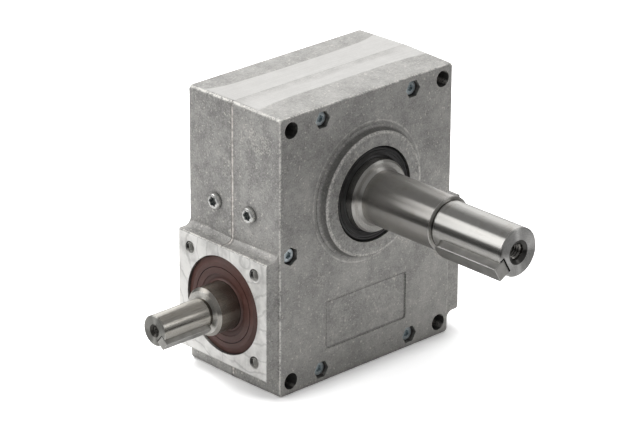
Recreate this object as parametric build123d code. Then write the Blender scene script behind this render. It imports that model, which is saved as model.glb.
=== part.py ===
from build123d import *
import math
import os

# Worm gearbox: a split die-cast housing with a round output boss, a square input flange,
# a keyed output shaft on a worm wheel and a keyed worm shaft below it. Millimetres, +Z up.
# The origin is the middle of the base, in the parting plane of the two housing halves.
# The output shaft lies along Y and leaves towards -Y, the worm lies along X and leaves towards -X.

# Gear set
module = 3.15
wheel_teeth = 30
diameter_quotient = 10
pressure_angle = 20.0
root_clearance = 0.2
worm_length = 36.0
wheel_width = 26.0
wheel_crest = 4.75
flank_backlash = 0.22

# Housing casting
body_width = 142.0
half_depth = 40.0
wall_draft = 0.8
edge_radius = 3.0
front_edge_radius = 2.0
wall = 7.0
wheel_room = 5.0
rib_thickness = 5.0
worm_height = 51.0

# Square flanges where the worm enters
flange_proud = 9.5
flange_half_width = 38.6
flange_half_height = 38.2
flange_blend = 5.0
flange_corner = 1.5
flange_bolt_offset = 28.3
flange_tap_radius = 3.4
flange_tap_depth = 16.0

# Round output bosses
boss_proud = 6.0
boss_radius = 39.0
boss_draft = 0.8
boss_rim_radius = 1.1
boss_foot_radius = 4.2

# Case fixings
corner_hole_x = 62.0
corner_hole_low = 9.0
corner_hole_top_inset = 8.5
corner_hole_radius = 5.25
screw_radius = 3.0
screw_clearance = 0.25
screw_head_radius = 4.5
screw_head_height = 3.4
screw_end_x = 37.0
screw_end_inset = 8.5
screw_side_x = 62.3
screw_side_wall = 8.0
pocket_flats = 10.3
pocket_depth = 5.6
nut_flats = 10.0
nut_height = 5.0
nut_clearance = 0.05
screw_end_play = 0.4
pillar_half = 8.5
dowel_radius = 3.0
dowel_length = 16.0
dowel_x = 50.0
dowel_clearance = 0.02
dowel_end_play = 0.4

# Oil plugs in the input side
plug_offset = 15.0
plug_height = 111.5
plug_head_radius = 4.9
plug_head_height = 2.8
plug_shank_radius = 3.0
plug_shank_length = 9.0
plug_socket_radius = 2.3
plug_socket_depth = 1.8
plug_clearance = 0.05

# Rating plate recess in the front face, left bare
plate_width = 67.0
plate_low = 20.8
plate_high = 52.0
plate_corner = 3.0
plate_depth = 0.6

# Output shaft
output_seat_radius = 22.5
output_neck_radius = 17.0
output_end_radius = 15.0
output_end_length = 56.0
output_reach = 124.0
collar_proud = 5.0
collar_chamfer = 1.2
neck_root_slope = 1.5
neck_chamfer = 0.4
relief_width = 1.8
relief_depth = 0.25
end_chamfer = 0.8
centre_core_radius = 5.1
centre_mouth_radius = 7.0
centre_depth = 30.0
centre_angle = 100.0
drill_angle = 118.0
output_key_width = 10.0
output_key_height = 8.0
output_key_depth = 3.7
output_key_length = 50.0
output_key_angle = 30.0
key_side_clearance = 0.05

# Worm wheel
hub_half_length = 17.0
hub_boss_radius = 31.0
hub_rim_radius = 38.0
web_half_width = 8.0
web_inner_radius = 33.0
wheel_key_width = 14.0
wheel_key_height = 9.0
wheel_key_depth = 5.5
wheel_key_length = 30.0
lock_pin_radius = 3.0
lock_pin_length = 14.0
lock_pin_count = 3
lock_pin_clearance = 0.02

# Worm shaft
worm_seat_radius = 15.0
worm_end_radius = 9.5
worm_end_length = 38.0
worm_collar_proud = 15.5
worm_collar_chamfer = 1.8
worm_shoulder_radius = 18.0
worm_shoulder_length = 5.0
worm_relief_width = 2.4
worm_relief_depth = 0.5
worm_core_radius = 2.5
worm_mouth_radius = 3.9
worm_centre_depth = 18.0
worm_key_width = 6.0
worm_key_height = 6.0
worm_key_seat = 3.5
worm_key_length = 36.0
worm_key_angle = 40.0
worm_tail = 5.0

# Bearings, seals, covers and rings
output_bearing_radius = 37.5
output_bearing_width = 16.0
worm_bearing_radius = 31.0
worm_bearing_width = 16.0
ball_share = 0.31
land_share = 0.24
ball_cage_half_width = 5.0
race_clearance = 0.1
output_seal_radius = 30.0
output_seal_width = 8.0
output_seal_recess = 0.8
worm_seal_width = 7.0
worm_seal_recess = 0.5
seal_wall = 2.0
seal_face_step = 0.4
seal_step_width = 4.5
lip_clearance = 0.05
lip_width = 1.5
fit_clearance = 0.02
cover_plate = 2.0
ring_thickness = 1.75
ring_depth = 1.5
ring_reach = 3.0
ring_gap = 9.0
seat_gap = 0.1
shoulder_depth = 3.0
seat_ridge = 1.0
touch = 0.01

# How far a cut runs past the surface that it opens
overrun = 1.0

# Worked out from the values above
pitch = math.pi * module
worm_pitch_radius = module * diameter_quotient / 2
wheel_pitch_radius = module * wheel_teeth / 2
centre_distance = worm_pitch_radius + wheel_pitch_radius
wheel_outer_radius = wheel_pitch_radius + wheel_crest
output_height = worm_height + centre_distance
body_height = output_height + wheel_outer_radius + wheel_room + wall
corner_hole_high = body_height - corner_hole_top_inset
screw_side_height = worm_height + worm_bearing_radius + screw_side_wall
worm_tip_radius = worm_pitch_radius + module
worm_root_radius = worm_pitch_radius - (1 + root_clearance) * module
lead_angle = math.atan(1 / diameter_quotient)
half_width = body_width / 2
flange_face = half_width + flange_proud
boss_face = half_depth + boss_proud
screw_places = (
    [(x, z) for x in (-screw_end_x, screw_end_x) for z in (screw_end_inset, corner_hole_high)]
    + [(x, screw_side_height) for x in (-screw_side_x, screw_side_x)]
)
corner_places = [
    (x, z) for x in (-corner_hole_x, corner_hole_x) for z in (corner_hole_low, corner_hole_high)
]
dowel_places = [(-dowel_x, corner_hole_high), (dowel_x, corner_hole_low)]
output_bearing_inner = hub_half_length + ring_thickness + seat_gap
output_bearing_outer = output_bearing_inner + output_bearing_width
output_seal_outer = boss_face - output_seal_recess
output_seal_inner = output_seal_outer - output_seal_width
worm_seal_outer = flange_face - worm_seal_recess
worm_seal_inner = worm_seal_outer - worm_seal_width
worm_ring_inner = worm_seal_inner - ring_thickness - seat_gap
worm_bearing_outer = worm_ring_inner - seat_gap
worm_bearing_inner = worm_bearing_outer - worm_bearing_width
output_step = half_depth + output_reach - output_end_length
output_tip = half_depth + output_reach
worm_step = flange_face + worm_collar_proud
worm_tip = worm_step + worm_end_length


def turned_y(points):
    """Turns a profile of (radius, y) points about the output shaft's axis."""
    return Pos(0, 0, output_height) * revolve(make_face(Polyline(*points, close=True)), Axis.Y)


def turned_x(points):
    """Turns a profile of (x, radius) points about the worm's axis."""
    return Pos(0, 0, worm_height) * revolve(make_face(Polyline(*points, close=True)), Axis.X)


def rod_y(radius, y_from, y_to, x=0.0, z=0.0):
    """A plain cylinder along Y."""
    middle = (y_from + y_to) / 2
    return Pos(x, middle, z) * Rot(90, 0, 0) * Cylinder(radius, abs(y_to - y_from))


def rod_x(radius, x_from, x_to, y=0.0, z=0.0):
    """A plain cylinder along X."""
    middle = (x_from + x_to) / 2
    return Pos(middle, y, z) * Rot(0, 90, 0) * Cylinder(radius, abs(x_to - x_from))


def hexagon_y(flats, y_from, y_to, x, z, turn=0.0):
    """A hexagonal prism along Y, with a corner towards +X when turn is 0."""
    plane = Plane(origin=(x, y_from, z), x_dir=(1, 0, 0), z_dir=(0, 1 if y_to > y_from else -1, 0))
    outline = plane * RegularPolygon(flats / 2, 6, major_radius=False, rotation=turn)
    return extrude(outline, abs(y_to - y_from))


def block(low, high):
    """A box between two corners."""
    size = [b - a for a, b in zip(low, high)]
    middle = [(a + b) / 2 for a, b in zip(low, high)]
    return Pos(*middle) * Box(*size)


def spans_depth(edge):
    """True for an edge that runs from the front face back to the parting plane."""
    return abs((edge @ 0).Y - (edge @ 1).Y) > half_depth / 2


def on_front(edge):
    """True for an edge that lies in the front face."""
    return max(abs((edge @ 0).Y + half_depth), abs((edge @ 1).Y + half_depth)) < touch


def drafted_body():
    """The main block of the front half, drafted on its sides and top but not on its base, and rounded."""
    height = body_height + wall_draft
    middle = (height - wall) / 2
    plane = Plane(origin=(0, 0, middle), x_dir=(1, 0, 0), z_dir=(0, -1, 0))
    outline = plane * Rectangle(body_width + 2 * wall_draft, height + wall)
    body = extrude(outline, half_depth, taper=math.degrees(math.atan(wall_draft / half_depth)))
    body -= block((-body_width, -body_width, -body_height), (body_width, body_width, 0))
    body = fillet(body.edges().filter_by(spans_depth), edge_radius)
    return fillet(body.edges().filter_by(on_front), front_edge_radius)


def flange_pad(side):
    """The square pad round the worm bore on one side, with its concave blend into the wall."""
    low = worm_height - flange_half_height
    high = worm_height + flange_half_height
    inside = half_width - wall / 2
    reach = flange_blend + fit_clearance
    points = [
        (side * inside, low - reach),
        (side * half_width, low - reach),
        (side * half_width, low),
        (side * flange_face, low),
        (side * flange_face, high),
        (side * half_width, high),
        (side * half_width, high + reach),
        (side * inside, high + reach),
    ]
    radii = [0, 0, flange_blend, flange_corner, flange_corner, flange_blend, 0, 0]
    outline = Plane.XZ * make_face(FilletPolyline(*points, radius=radii, close=True))
    return extrude(outline, flange_half_width)


def output_boss():
    """The round boss on the front face, drafted, with a rounded rim and a wide fillet at its foot."""
    foot = boss_radius + boss_draft
    reach = foot + boss_foot_radius + fit_clearance
    inside = half_depth - wall / 2
    points = [
        (0, -inside),
        (reach, -inside),
        (reach, -half_depth),
        (foot, -half_depth),
        (boss_radius, -boss_face),
        (0, -boss_face),
    ]
    radii = [0, 0, 0, boss_foot_radius, boss_rim_radius, 0]
    outline = make_face(FilletPolyline(*points, radius=radii, close=True))
    return Pos(0, 0, output_height) * revolve(outline, Axis.Y)


def pillar(x, z, reach):
    """A square pillar round a fixing, from the outer face to the parting plane."""
    return block((x - reach, -half_depth, z - reach), (x + reach, 0, z + reach))


def cavity():
    """The oil space of one half, left around the bearing seats, the ribs and the fixing pillars."""
    room = block(
        (-half_width + wall, -half_depth + wall, wall),
        (half_width - wall, 0, body_height - wall),
    )
    seat_end = output_bearing_inner - seat_ridge
    room -= rod_y(output_bearing_radius + wall, -half_depth, -seat_end, 0, output_height)
    for side in (-1, 1):
        saddle_end = worm_bearing_inner - shoulder_depth
        room -= rod_x(worm_bearing_radius + wall, side * half_width, side * saddle_end, 0, worm_height)
    room -= [pillar(x, z, pillar_half) for x, z in screw_places + dowel_places]
    room -= [pillar(x, z, corner_hole_radius + wall) for x, z in corner_places]
    rib_top = -half_depth + wall + 2 * rib_thickness
    for x in (-1, 1):
        for z in (-1, 1):
            angle = math.degrees(math.atan2(z, x))
            web = Box(body_width / 2, half_depth + rib_top, rib_thickness)
            middle = Pos(0, (rib_top - half_depth) / 2, output_height)
            room -= middle * Rot(0, -angle, 0) * Pos(body_width / 4, 0, 0) * web
    return room


def through_bores():
    """The bores turned through both halves at once: output seat, worm seats and their shoulders."""
    seat = output_bearing_outer + seat_gap
    cut = rod_y(output_bearing_radius, -seat, 0, 0, output_height)
    cut += rod_y(output_seal_radius, -boss_face, -seat, 0, output_height)
    shoulder = worm_bearing_inner - seat_gap
    for side in (-1, 1):
        cut += rod_x(worm_bearing_radius, side * shoulder, side * flange_face, 0, worm_height)
        cut += rod_x(
            worm_bearing_radius - shoulder_depth,
            side * (shoulder - 2 * shoulder_depth),
            side * shoulder,
            0,
            worm_height,
        )
        cut += rod_x(
            worm_bearing_radius + ring_depth,
            side * worm_ring_inner,
            side * (worm_ring_inner + ring_thickness + seat_gap),
            0,
            worm_height,
        )
    return cut


def tapped_hole(side, y, z):
    """A blind tapped hole in a flange, drawn at its core diameter."""
    return rod_x(flange_tap_radius, side * (flange_face - flange_tap_depth), side * flange_face, y, z)


def pocket_turn(z):
    """The pockets at the sides have a corner up, those at the ends have one sideways."""
    return 30 if z == screw_side_height else 0


def housing_half():
    """The front half of the housing, before what only one half has."""
    half = drafted_body()
    half += [flange_pad(-1), flange_pad(1)]
    half += output_boss()
    half -= cavity()
    half -= through_bores()
    holes = [rod_y(corner_hole_radius, -boss_face, overrun, x, z) for x, z in corner_places]
    pocket = -half_depth + pocket_depth
    for x, z in screw_places:
        holes.append(rod_y(screw_radius + screw_clearance, -half_depth, overrun, x, z))
        holes.append(hexagon_y(pocket_flats, pocket, -half_depth - overrun, x, z, pocket_turn(z)))
    dowel_end = -(dowel_length + dowel_end_play) / 2
    for x, z in dowel_places:
        holes.append(rod_y(dowel_radius + dowel_clearance, dowel_end, overrun, x, z))
    for side in (-1, 1):
        for z in (worm_height - flange_bolt_offset, worm_height + flange_bolt_offset):
            holes.append(tapped_hole(side, -flange_bolt_offset, z))
    plug_hole = plug_shank_radius + plug_clearance
    holes.append(rod_x(plug_hole, -flange_face, -half_width + 2 * wall, -plug_offset, plug_height))
    return half - holes


def plate_recess():
    """The shallow recess for a rating plate."""
    height = plate_high - plate_low
    middle = (0, -half_depth, (plate_low + plate_high) / 2)
    plane = Plane(origin=middle, x_dir=(1, 0, 0), z_dir=(0, -1, 0))
    return extrude(plane * RectangleRounded(plate_width, height, plate_corner), -plate_depth)


def group(solids):
    """Several separate solids kept as one node."""
    return Compound(children=[s.solid() if not isinstance(s, Solid) else s for s in solids])


def case_screws():
    """The screws that clamp the halves, one in each pocket."""
    floor = half_depth - pocket_depth
    screws = []
    for x, z in screw_places:
        screw = rod_y(screw_radius, -floor, floor + nut_height + screw_end_play, x, z)
        screw += rod_y(screw_head_radius, -floor - screw_head_height, -floor, x, z)
        screws.append(screw)
    return group(screws)


def case_nuts():
    """The nuts in the rear pockets."""
    floor = half_depth - pocket_depth
    nuts = []
    for x, z in screw_places:
        nut = hexagon_y(nut_flats, floor, floor + nut_height, x, z, pocket_turn(z))
        nuts.append(nut - rod_y(screw_radius + nut_clearance, 0, half_depth, x, z))
    return group(nuts)


def dowel_pins():
    """The pins that line the halves up."""
    return group([rod_y(dowel_radius, -dowel_length / 2, dowel_length / 2, x, z) for x, z in dowel_places])


def side_at(y):
    """How far the drafted side wall stands from the middle at a distance y from the parting plane."""
    return half_width + wall_draft * (1 - abs(y) / half_depth)


def oil_plugs():
    """The two oil plugs in the input side, each with a socket in its head."""
    plugs = []
    for y in (-plug_offset, plug_offset):
        seat = -side_at(abs(y) - plug_head_radius) - fit_clearance
        top = seat - plug_head_height
        plug = rod_x(plug_shank_radius, seat + plug_shank_length, seat, y, plug_height)
        plug += rod_x(plug_head_radius, top, seat, y, plug_height)
        plugs.append(plug - rod_x(plug_socket_radius, top, top + plug_socket_depth, y, plug_height))
    return group(plugs)


def key_bar(width, length, height, grow=0.0):
    """A key along X from 0 to length with a round inner end, or its seat, grown all round."""
    end = width / 2 + grow
    bar = Pos((length + width / 2) / 2, 0, 0) * Rectangle(length - width / 2, 2 * end)
    return extrude(bar + Pos(width / 2, 0, 0) * Circle(end), height)


def along_output(shape):
    """Places a key that was drawn along X, or its seat, on the output shaft."""
    start = Pos(0, key_side_clearance - output_tip + output_key_length, output_height)
    lift = output_end_radius - output_key_depth
    return start * Rot(0, -90 - output_key_angle, 0) * Pos(0, 0, lift) * Rot(0, 0, -90) * shape


def along_worm(shape):
    """Places a key that was drawn along X, or its seat, on the worm shaft."""
    start = Pos(key_side_clearance - worm_tip + worm_key_length, 0, worm_height)
    lift = worm_end_radius - worm_key_seat
    return start * Rot(90 + worm_key_angle, 0, 0) * Pos(0, 0, lift) * Rot(0, 0, 180) * shape


def centre_hole(core, mouth, depth):
    """A tapped centre hole along X from 0, with its protecting chamfer."""
    cone = (mouth - core) / math.tan(math.radians(centre_angle / 2))
    point = core / math.tan(math.radians(drill_angle / 2))
    line = Polyline((0, 0), (0, mouth), (cone, core), (depth, core), (depth + point, 0), close=True)
    return revolve(make_face(line), Axis.X)


def output_shaft():
    """The output shaft, from the ring groove inside to the keyed end."""
    rear = output_bearing_outer + seat_gap
    step = boss_face + collar_proud
    relief = output_end_radius - relief_depth
    groove = output_seat_radius - ring_depth
    inner = hub_half_length
    outer = hub_half_length + ring_thickness + seat_gap / 2
    points = [
        (0, rear),
        (output_seat_radius, rear),
        (output_seat_radius, outer),
        (groove, outer),
        (groove, inner),
        (output_seat_radius, inner),
        (output_seat_radius, -inner),
        (groove, -inner),
        (groove, -outer),
        (output_seat_radius, -outer),
        (output_seat_radius, -step + collar_chamfer),
        (output_seat_radius - collar_chamfer, -step),
        (output_neck_radius + neck_root_slope, -step),
        (output_neck_radius, -step - neck_root_slope),
        (output_neck_radius, -output_step + neck_chamfer),
        (output_neck_radius - neck_chamfer, -output_step),
        (relief, -output_step),
        (relief, -output_step - relief_width),
        (output_end_radius, -output_step - relief_width),
        (output_end_radius, -output_tip + end_chamfer),
        (output_end_radius - end_chamfer, -output_tip),
        (0, -output_tip),
    ]
    shaft = turned_y(points)
    seat = key_bar(output_key_width, output_key_length + overrun, output_end_radius, key_side_clearance)
    shaft -= along_output(seat)
    shaft -= wheel_key_at(round_bar(wheel_key_width, wheel_key_length, key_side_clearance))
    hole = centre_hole(centre_core_radius, centre_mouth_radius, centre_depth)
    return shaft - Pos(0, -output_tip, output_height) * Rot(0, 0, 90) * hole


def round_bar(width, length, grow=0.0):
    """The wheel's key along X with both ends round, or its seat, grown all round."""
    return extrude(SlotOverall(length + 2 * grow, width + 2 * grow), wheel_key_height)


def wheel_key_at(shape):
    """Places the wheel's key on top of the output shaft, in its seat."""
    return Pos(0, 0, output_height + output_seat_radius - wheel_key_depth) * Rot(0, 0, 90) * shape


def output_key():
    """The output shaft's key, round at its inner end and flush at the shaft's end."""
    return along_output(key_bar(output_key_width, output_key_length, output_key_height))


def wheel_key():
    """The key that drives the wheel."""
    return wheel_key_at(round_bar(wheel_key_width, wheel_key_length))


def lock_pin_places():
    """Where the locking pins sit, on the joint between hub and rim."""
    for i in range(lock_pin_count):
        angle = math.radians(90 + 360 / lock_pin_count * (i + 0.5))
        yield hub_rim_radius * math.cos(angle), output_height + hub_rim_radius * math.sin(angle)


def wheel_hub():
    """The cast-iron hub that carries the bronze rim, with a keyway and a thinner web."""
    half = wheel_width / 2
    bore = output_seat_radius + fit_clearance
    points = [
        (bore, -hub_half_length),
        (hub_boss_radius, -hub_half_length),
        (hub_boss_radius, -web_half_width),
        (web_inner_radius, -web_half_width),
        (web_inner_radius, -half),
        (hub_rim_radius, -half),
        (hub_rim_radius, half),
        (web_inner_radius, half),
        (web_inner_radius, web_half_width),
        (hub_boss_radius, web_half_width),
        (hub_boss_radius, hub_half_length),
        (bore, hub_half_length),
    ]
    hub = turned_y(points)
    keyway = wheel_key_height - wheel_key_depth + seat_gap
    side = wheel_key_width / 2 + key_side_clearance
    hub -= block(
        (-side, -hub_half_length, output_height),
        (side, hub_half_length, output_height + output_seat_radius + keyway),
    )
    return hub - [lock_pin_hole(x, z) for x, z in lock_pin_places()]


def lock_pin_hole(x, z):
    """A blind hole for a locking pin, drilled from the front of the wheel."""
    front = wheel_width / 2
    return rod_y(lock_pin_radius + lock_pin_clearance, -front, -front + lock_pin_length + seat_gap, x, z)


def lock_pins():
    """The pins that keep the rim from turning on the hub."""
    front = -wheel_width / 2
    end = front + lock_pin_length
    return group([rod_y(lock_pin_radius, front, end, x, z) for x, z in lock_pin_places()])


def involute(angle):
    """The involute function of an angle in radians."""
    return math.tan(angle) - angle


def gap_outline(top):
    """One tooth gap of the wheel, open downwards, as points about the wheel's centre."""
    flank = math.radians(pressure_angle)
    base = wheel_pitch_radius * math.cos(flank)
    root = wheel_pitch_radius - (1 + root_clearance) * module
    half_gap = math.pi / (2 * wheel_teeth) + flank_backlash / (2 * wheel_pitch_radius)
    side = []
    for radius in (root, wheel_pitch_radius, top):
        reach = max(radius, base)
        angle = half_gap + involute(math.acos(base / reach)) - involute(flank)
        side.append((radius * math.sin(angle), -radius * math.cos(angle)))
    return [(-x, z) for x, z in side] + side[::-1]


def worm_wheel_rim():
    """The bronze rim: a throated blank with helical gaps that clear the worm's thread."""
    half = wheel_width / 2
    throat = worm_root_radius + root_clearance * module
    tip = centre_distance - throat
    edge = math.sqrt(throat**2 - (centre_distance - wheel_outer_radius) ** 2)
    bore = hub_rim_radius + fit_clearance
    outline = (
        Line((bore, -half), (wheel_outer_radius, -half))
        + Line((wheel_outer_radius, -half), (wheel_outer_radius, -edge))
        + ThreePointArc((wheel_outer_radius, -edge), (tip, 0), (wheel_outer_radius, edge))
        + Line((wheel_outer_radius, edge), (wheel_outer_radius, half))
        + Line((wheel_outer_radius, half), (bore, half))
        + Line((bore, half), (bore, -half))
    )
    rim = revolve(make_face(outline), Axis.Y)
    twist = math.degrees(half * math.tan(lead_angle) / wheel_pitch_radius)
    points = gap_outline(wheel_outer_radius + overrun)
    ends = []
    for y, turn in ((-half, -twist), (half, twist)):
        plane = Plane(origin=(0, y, 0), x_dir=(1, 0, 0), z_dir=(0, -1, 0))
        ends.append(Rot(0, turn, 0) * (plane * make_face(Polyline(*points, close=True))))
    gap = loft(ends, ruled=True)
    rim -= [Rot(0, 360 / wheel_teeth * i, 0) * gap for i in range(wheel_teeth)]
    rim = Pos(0, 0, output_height) * rim
    return rim - [lock_pin_hole(x, z) for x, z in lock_pin_places()]


def worm_thread():
    """The worm's thread along X, with a crest straight above the axis at x = 0."""
    slope = math.tan(math.radians(pressure_angle))
    foot = worm_root_radius - root_clearance * module

    def half_thickness(radius):
        return pitch / 4 - flank_backlash / 4 - (radius - worm_pitch_radius) * slope

    low, high = half_thickness(foot), half_thickness(worm_tip_radius)
    crest = [(worm_tip_radius, -high), (worm_tip_radius, high)]
    line = Polyline((foot, -low), *crest, (foot, low), close=True)
    start = -worm_length / 2
    path = Helix(pitch, worm_length, worm_pitch_radius, center=(0, 0, start))
    rib = sweep(Pos(0, 0, start) * make_face(Plane.XZ * line), path=path, is_frenet=True)
    phase = math.degrees(2 * math.pi * worm_length / 2 / pitch)
    return Pos(0, 0, worm_height) * Rot(0, -90, 0) * Rot(0, 0, -phase) * rib


def worm_shaft():
    """The worm shaft in one piece, from the ring groove at its tail to the keyed end."""
    shoulder = worm_bearing_inner
    neck = shoulder - worm_shoulder_length
    root_end = worm_length / 2 + pitch
    tail = worm_bearing_outer + worm_tail
    groove = worm_seat_radius - ring_depth / 2
    groove_from = worm_bearing_outer + seat_gap / 2
    relief = worm_end_radius - worm_relief_depth
    points = [
        (tail, 0),
        (tail, worm_seat_radius),
        (groove_from + ring_thickness, worm_seat_radius),
        (groove_from + ring_thickness, groove),
        (groove_from, groove),
        (groove_from, worm_seat_radius),
        (shoulder, worm_seat_radius),
        (shoulder, worm_shoulder_radius),
        (neck, worm_shoulder_radius),
        (root_end, worm_root_radius),
        (-root_end, worm_root_radius),
        (-neck, worm_shoulder_radius),
        (-shoulder, worm_shoulder_radius),
        (-shoulder, worm_seat_radius),
        (-worm_step + worm_collar_chamfer, worm_seat_radius),
        (-worm_step, worm_seat_radius - worm_collar_chamfer),
        (-worm_step, relief),
        (-worm_step - worm_relief_width, relief),
        (-worm_step - worm_relief_width, worm_end_radius),
        (-worm_tip + end_chamfer / 2, worm_end_radius),
        (-worm_tip, worm_end_radius - end_chamfer / 2),
        (-worm_tip, 0),
    ]
    shaft = turned_x(points) + worm_thread()
    seat = key_bar(worm_key_width, worm_key_length + overrun, worm_end_radius, key_side_clearance)
    shaft -= along_worm(seat)
    hole = centre_hole(worm_core_radius, worm_mouth_radius, worm_centre_depth)
    return shaft - Pos(-worm_tip, 0, worm_height) * hole


def input_key():
    """The worm shaft's key, round at its inner end and flush at the shaft's end."""
    return along_worm(key_bar(worm_key_width, worm_key_length, worm_key_height))


def race_profiles(bore, outside, start, width):
    """Radius and place pairs of a ball bearing's rings and ball ring, along its own axis."""
    land = (outside - bore) * land_share
    ball = (outside - bore) * ball_share
    pitch_radius = (outside + bore) / 2
    middle = start + width / 2
    groove = ball_cage_half_width + race_clearance

    def ring(back, shoulder, track):
        return [
            (back, start),
            (back, start + width),
            (shoulder, start + width),
            (shoulder, middle + groove),
            (track, middle + groove),
            (track, middle - groove),
            (shoulder, middle - groove),
            (shoulder, start),
        ]

    reach = ball - race_clearance
    balls = [
        (pitch_radius - reach, middle - ball_cage_half_width),
        (pitch_radius + reach, middle - ball_cage_half_width),
        (pitch_radius + reach, middle + ball_cage_half_width),
        (pitch_radius - reach, middle + ball_cage_half_width),
    ]
    outer = ring(outside, outside - land, pitch_radius + ball)
    inner = ring(bore, bore + land, pitch_radius - ball)
    return {"outer": outer, "inner": inner, "balls": balls}


def bearing(bore, outside, start, width, turned, flip=False):
    """The outer ring, inner ring and ball ring of one bearing, turned about its shaft's axis."""
    profiles = race_profiles(bore + fit_clearance, outside - fit_clearance, start, width)
    if flip:
        profiles = {name: [(t, r) for r, t in points] for name, points in profiles.items()}
    return {name: turned(points) for name, points in profiles.items()}


def seal_profile(outside, shaft, face, width, way):
    """A shaft seal's section from its outer face: case, stepped face and a lip along the shaft."""
    case = outside - fit_clearance
    lip = shaft + lip_clearance
    depths = [
        (case, width),
        (case, 0),
        (case - seal_step_width, 0),
        (case - seal_step_width, seal_face_step),
        (lip, seal_face_step),
        (lip, width),
        (lip + lip_width, width),
        (lip + lip_width, seal_wall),
        (case - seal_wall, seal_wall),
        (case - seal_wall, width),
    ]
    return [(radius, face - way * depth) for radius, depth in depths]


def cover_profile(outside, face, width):
    """A pressed cover's section: a rim in the bore and a closed plate at its outer face."""
    rim = outside - fit_clearance
    return [
        (rim, face - width),
        (rim, face),
        (0, face),
        (0, face - cover_plate),
        (rim - cover_plate, face - cover_plate),
        (rim - cover_plate, face - width),
    ]


def open_ring(inner, outer):
    """A retaining ring with its gap, from z = 0 up."""
    opening = Pos((inner + outer) / 2, 0) * Rectangle(2 * ring_reach, ring_gap)
    return extrude(Circle(outer) - Circle(inner) - opening, ring_thickness)


def output_rings():
    """The two shaft rings that hold the wheel's hub."""
    ring = open_ring(output_seat_radius - ring_depth + fit_clearance, output_seat_radius + ring_reach)
    rings = []
    beside_hub = hub_half_length + fit_clearance
    for start in (-beside_hub, beside_hub + ring_thickness):
        rings.append(Pos(0, start, output_height) * Rot(90, 0, 0) * ring)
    return group(rings)


def worm_ring():
    """The shaft ring at the worm's tail, outside the bearing's inner ring."""
    ring = open_ring(worm_seat_radius - ring_depth / 2 + fit_clearance, worm_seat_radius + ring_reach)
    return Pos(worm_bearing_outer + seat_gap / 2, 0, worm_height) * Rot(0, 90, 0) * ring


def bore_rings():
    """The two rings that hold the worm bearings in their bores."""
    outer = worm_bearing_radius + ring_depth - fit_clearance
    ring = open_ring(worm_bearing_radius - ring_reach, outer)
    rings = []
    groove = worm_ring_inner + seat_gap / 2
    for start in (-groove - ring_thickness, groove):
        rings.append(Pos(start, 0, worm_height) * Rot(0, 90, 0) * ring)
    return group(rings)


front = housing_half()
rear = mirror(front, Plane.XZ)
parts = {
    "housing_front": front - plate_recess(),
    "housing_rear": rear,
    "case_screws": case_screws(),
    "case_nuts": case_nuts(),
    "dowel_pins": dowel_pins(),
    "oil_plugs": oil_plugs(),
    "output_shaft": output_shaft(),
    "output_key": output_key(),
    "wheel_key": wheel_key(),
    "wheel_hub": wheel_hub(),
    "worm_wheel_rim": worm_wheel_rim(),
    "lock_pins": lock_pins(),
    "output_rings": output_rings(),
    "worm_shaft": worm_shaft(),
    "input_key": input_key(),
    "worm_ring": worm_ring(),
    "bore_rings": bore_rings(),
}
for name, start in (("front", -output_bearing_outer), ("rear", output_bearing_inner)):
    pieces = bearing(
        output_seat_radius,
        output_bearing_radius,
        start,
        output_bearing_width,
        turned_y,
    )
    for piece, solid in pieces.items():
        parts[f"output_bearing_{name}_{piece}"] = solid
for name, start in (("input", -worm_bearing_outer), ("tail", worm_bearing_inner)):
    pieces = bearing(
        worm_seat_radius,
        worm_bearing_radius,
        start,
        worm_bearing_width,
        turned_x,
        True,
    )
    for piece, solid in pieces.items():
        parts[f"worm_bearing_{name}_{piece}"] = solid
seal = seal_profile(output_seal_radius, output_seat_radius, -output_seal_outer, output_seal_width, -1)
parts["output_seal"] = turned_y(seal)
seal = seal_profile(worm_bearing_radius, worm_seat_radius, -worm_seal_outer, worm_seal_width, -1)
parts["input_seal"] = turned_x([(x, radius) for radius, x in seal])
parts["output_cover"] = turned_y(cover_profile(output_seal_radius, output_seal_outer, output_seal_width))
cover = cover_profile(worm_bearing_radius, worm_seal_outer, worm_seal_width)
parts["tail_cover"] = turned_x([(x, radius) for radius, x in cover])

os.makedirs("parts", exist_ok=True)
for name, shape in parts.items():
    export_step(shape, f"parts/{name}.step")
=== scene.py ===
import math

import bmesh
import bpy
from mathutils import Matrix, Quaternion, Vector


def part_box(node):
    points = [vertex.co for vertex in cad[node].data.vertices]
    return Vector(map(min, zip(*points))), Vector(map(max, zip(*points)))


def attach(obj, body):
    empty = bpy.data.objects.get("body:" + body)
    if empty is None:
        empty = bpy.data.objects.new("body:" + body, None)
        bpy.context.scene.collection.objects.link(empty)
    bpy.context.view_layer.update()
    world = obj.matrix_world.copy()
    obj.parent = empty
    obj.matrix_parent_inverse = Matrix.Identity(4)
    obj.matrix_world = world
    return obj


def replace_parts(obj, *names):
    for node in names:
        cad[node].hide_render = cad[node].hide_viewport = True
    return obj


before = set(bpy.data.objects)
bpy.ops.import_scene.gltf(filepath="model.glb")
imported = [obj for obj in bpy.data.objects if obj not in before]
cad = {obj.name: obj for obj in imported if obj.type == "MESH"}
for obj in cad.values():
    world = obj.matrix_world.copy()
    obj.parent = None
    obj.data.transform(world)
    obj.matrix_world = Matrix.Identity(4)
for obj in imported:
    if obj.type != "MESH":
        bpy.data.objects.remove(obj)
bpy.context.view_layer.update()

# The photographer's place: a long lens from the front left, looking down a little.
# The aim is the point where the lens axis passes the middle of the housing.
lens_length = 203.15
film_width = 36.0
nearest_seen = 0.05
camera_place = Vector((-1.38691, -1.45729, 0.93973))
camera_aim = Vector((-0.00088, -0.00008, 0.08743))
camera_roll = math.radians(0.331)
camera_data = bpy.data.cameras.new("camera")
camera_data.lens = lens_length
camera_data.sensor_width = film_width
camera_data.clip_start = nearest_seen
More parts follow.
